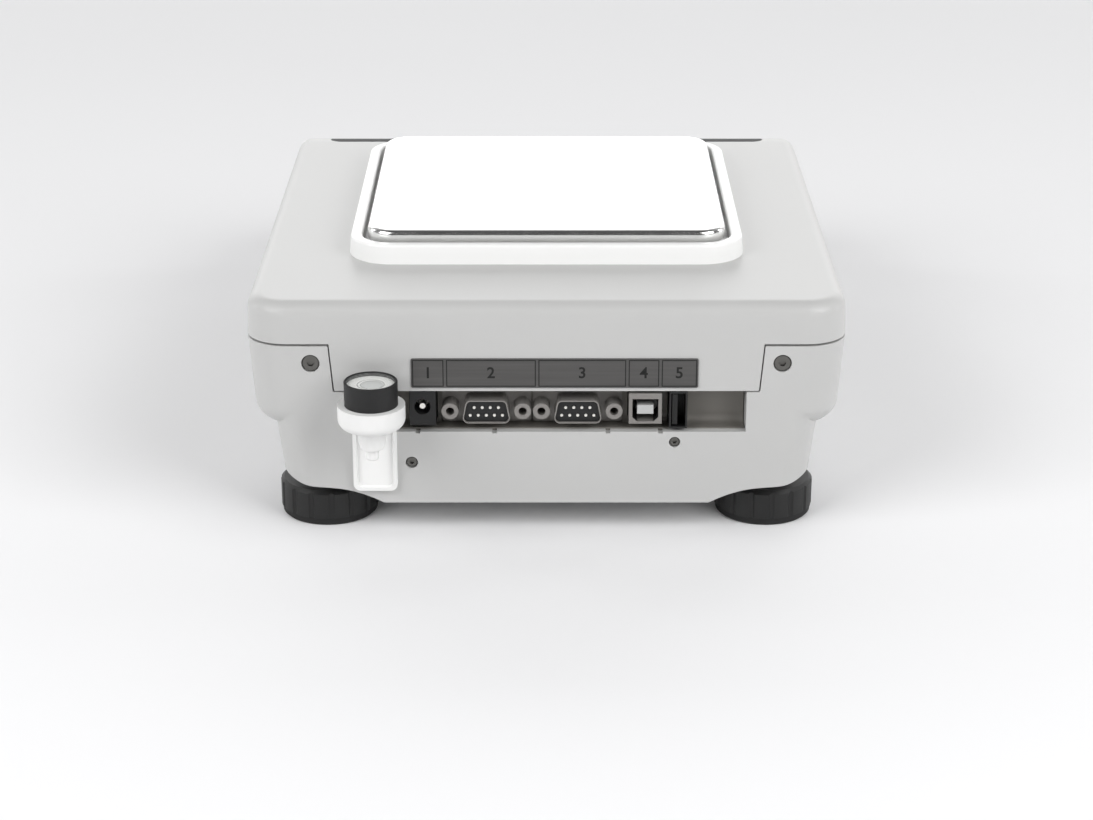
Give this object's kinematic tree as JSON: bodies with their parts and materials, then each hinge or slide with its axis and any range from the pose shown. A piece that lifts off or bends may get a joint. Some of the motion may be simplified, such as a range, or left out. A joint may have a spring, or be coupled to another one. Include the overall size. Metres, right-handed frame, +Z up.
{
  "type": "precision balance",
  "caption": "Bench precision balance with a square steel pan in a raised tray, sloped key panel, rear sockets, bubble level and levelling feet.",
  "frame": {"origin": "on the table, under the middle of the whole outline, with the level's overhang counted", "axes": "+Z up, the display and keys face -Y, the sockets and the bubble level face +Y"},
  "size_m": [0.206, 0.333, 0.0947],
  "materials": {
    "case_plastic": "fine spark-eroded texture, warm light grey",
    "housing_plastic": "fine spark-eroded texture, warm light grey",
    "tray_plastic": "smooth moulded, off-white",
    "pan_steel": "satin stainless sheet",
    "cast_alloy": "as cast, machined seats",
    "label_metal": "brushed sheet with dark print",
    "bay_sheet": "bent sheet, warm grey",
    "panel_film": "printed film, dark grey",
    "key_plastic": "soft-touch grey",
    "display_glass": "clear window",
    "module_body": "grey-green display",
    "board_green": "solder resist",
    "black_plastic": "moulded, black",
    "socket_steel": "tin-plated shell",
    "grey_plastic": "moulded, light grey",
    "white_plastic": "white disc",
    "level_glass": "clear vial",
    "screw_steel": "zinc, dulled",
    "black_rubber": "matt rubber",
    "knob_plastic": "moulded, black",
    "stud_steel": "turned steel",
    "insert_brass": "turned brass",
    "magnet_steel": "nickel-plated",
    "coil_copper": "lacquered copper winding"
  },
  "bodies": {
    "case": {"upper_cover": "case_plastic", "lower_housing": "housing_plastic", "tray_ring": "tray_plastic", "label_plate": "label_metal", "front_panel": "panel_film", "display_window": "display_glass", "display_module": "module_body", "key_board": "board_green", "socket_plate": "bay_sheet", "main_board": "board_green", "dc_socket": "black_plastic", "serial_socket_1": "socket_steel", "serial_socket_2": "socket_steel", "serial_insulators": "black_plastic", "usb_socket_b": "socket_steel", "usb_socket_a": "socket_steel", "level_holder": "grey_plastic", "level_ring": "black_plastic", "level_disc": "white_plastic", "level_glass": "level_glass", "cover_screw_left": "screw_steel", "cover_screw_right": "screw_steel", "low_screw_left": "screw_steel", "low_screw_right": "screw_steel", "case_screws": "screw_steel", "cell_frame": "cast_alloy", "frame_pins": "stud_steel", "magnet_pot": "magnet_steel", "position_sensor": "black_plastic", "foot_insert_rear_left": "insert_brass", "foot_insert_rear_right": "insert_brass", "foot_insert_front_left": "insert_brass", "foot_insert_front_right": "insert_brass"},
    "pan": {"weighing_pan": "pan_steel"},
    "receptor": {"load_receptor": "cast_alloy", "pan_carrier": "cast_alloy", "pan_cushions": "black_rubber"},
    "upper_guide": {"upper_guide": "cast_alloy"},
    "lower_guide": {"lower_guide": "cast_alloy"},
    "beam": {"balance_beam": "cast_alloy", "coil": "coil_copper"},
    "hook_plug": {"hook_plug": "black_plastic"},
    "key_power": {"key_power": "key_plastic"},
    "key_print": {"key_print": "key_plastic"},
    "key_menu": {"key_menu": "key_plastic"},
    "key_mode": {"key_mode": "key_plastic"},
    "key_unit": {"key_unit": "key_plastic"},
    "key_tare": {"key_tare": "key_plastic"},
    "pad_rear_left": {"foot_pad_rear_left": "black_rubber"},
    "knob_rear_left": {"foot_knob_rear_left": "knob_plastic", "foot_stud_rear_left": "stud_steel"},
    "pad_rear_right": {"foot_pad_rear_right": "black_rubber"},
    "knob_rear_right": {"foot_knob_rear_right": "knob_plastic", "foot_stud_rear_right": "stud_steel"},
    "pad_front_left": {"foot_pad_front_left": "black_rubber"},
    "knob_front_left": {"foot_knob_front_left": "knob_plastic", "foot_stud_front_left": "stud_steel"},
    "pad_front_right": {"foot_pad_front_right": "black_rubber"},
    "knob_front_right": {"foot_knob_front_right": "knob_plastic", "foot_stud_front_right": "stud_steel"}
  },
  "joints": [
    {"name": "load_travel", "type": "slide", "parent": "case", "child": "receptor", "axis": [0, 0, 1], "range_m": [-0.0005, 0], "stiffness_N_per_m": 20000, "springref_m": 0.0004},
    {"name": "pan_lift", "type": "slide", "parent": "receptor", "child": "pan", "axis": [0, 0, 1], "range_m": [0, 0.06]},
    {"name": "upper_guide_turn", "type": "hinge", "parent": "case", "child": "upper_guide", "pos_m": [0, -0.0328, 0.063], "axis": [1, 0, 0], "range_deg": [-0.6, 0.05]},
    {"name": "lower_guide_turn", "type": "hinge", "parent": "case", "child": "lower_guide", "pos_m": [0, -0.0328, 0.027], "axis": [1, 0, 0], "range_deg": [-0.6, 0.05]},
    {"name": "beam_turn", "type": "hinge", "parent": "case", "child": "beam", "pos_m": [0, 0.0032, 0.044], "axis": [1, 0, 0], "range_deg": [-2.5, 0.1]},
    {"name": "plug_pull", "type": "slide", "parent": "case", "child": "hook_plug", "axis": [0, 0, -1], "range_m": [0, 0.008]},
    {"name": "key_power_press", "type": "slide", "parent": "case", "child": "key_power", "axis": [0, 0.3154, -0.949], "range_m": [0, 0.0008], "stiffness_N_per_m": 1500, "springref_m": -0.0003},
    {"name": "key_print_press", "type": "slide", "parent": "case", "child": "key_print", "axis": [0, 0.3154, -0.949], "range_m": [0, 0.0008], "stiffness_N_per_m": 1500, "springref_m": -0.0003},
    {"name": "key_menu_press", "type": "slide", "parent": "case", "child": "key_menu", "axis": [0, 0.3154, -0.949], "range_m": [0, 0.0008], "stiffness_N_per_m": 1500, "springref_m": -0.0003},
    {"name": "key_mode_press", "type": "slide", "parent": "case", "child": "key_mode", "axis": [0, 0.3154, -0.949], "range_m": [0, 0.0008], "stiffness_N_per_m": 1500, "springref_m": -0.0003},
    {"name": "key_unit_press", "type": "slide", "parent": "case", "child": "key_unit", "axis": [0, 0.3154, -0.949], "range_m": [0, 0.0008], "stiffness_N_per_m": 1500, "springref_m": -0.0003},
    {"name": "key_tare_press", "type": "slide", "parent": "case", "child": "key_tare", "axis": [0, 0.3154, -0.949], "range_m": [0, 0.0008], "stiffness_N_per_m": 1500, "springref_m": -0.0003},
    {"name": "foot_lift_rear_left", "type": "slide", "parent": "case", "child": "pad_rear_left", "axis": [0, 0, 1], "range_m": [-0.005, 0.003]},
    {"name": "foot_turn_rear_left", "type": "hinge", "parent": "pad_rear_left", "child": "knob_rear_left", "pos_m": [0.0772, 0.1202, 0], "axis": [0, 0, 1], "range_deg": [-1439, 863]},
    {"name": "foot_lift_rear_right", "type": "slide", "parent": "case", "child": "pad_rear_right", "axis": [0, 0, 1], "range_m": [-0.005, 0.003]},
    {"name": "foot_turn_rear_right", "type": "hinge", "parent": "pad_rear_right", "child": "knob_rear_right", "pos_m": [-0.0772, 0.1202, 0], "axis": [0, 0, 1], "range_deg": [-1439, 863]},
    {"name": "foot_lift_front_left", "type": "slide", "parent": "case", "child": "pad_front_left", "axis": [0, 0, 1], "range_m": [-0.005, 0.003]},
    {"name": "foot_turn_front_left", "type": "hinge", "parent": "pad_front_left", "child": "knob_front_left", "pos_m": [0.0772, -0.135, 0], "axis": [0, 0, 1], "range_deg": [-1439, 863]},
    {"name": "foot_lift_front_right", "type": "slide", "parent": "case", "child": "pad_front_right", "axis": [0, 0, 1], "range_m": [-0.005, 0.003]},
    {"name": "foot_turn_front_right", "type": "hinge", "parent": "pad_front_right", "child": "knob_front_right", "pos_m": [-0.0772, -0.135, 0], "axis": [0, 0, 1], "range_deg": [-1439, 863]}
  ],
  "couplings": [
    {"joint": "upper_guide_turn", "follows": "load_travel", "rad_per_m": 20.408},
    {"joint": "lower_guide_turn", "follows": "load_travel", "rad_per_m": 20.408},
    {"joint": "beam_turn", "follows": "load_travel", "rad_per_m": 83.333},
    {"joint": "foot_lift_rear_left", "follows": "foot_turn_rear_left", "m_per_rad": 0.00019894},
    {"joint": "foot_lift_rear_right", "follows": "foot_turn_rear_right", "m_per_rad": 0.00019894},
    {"joint": "foot_lift_front_left", "follows": "foot_turn_front_left", "m_per_rad": 0.00019894},
    {"joint": "foot_lift_front_right", "follows": "foot_turn_front_right", "m_per_rad": 0.00019894}
  ]
}
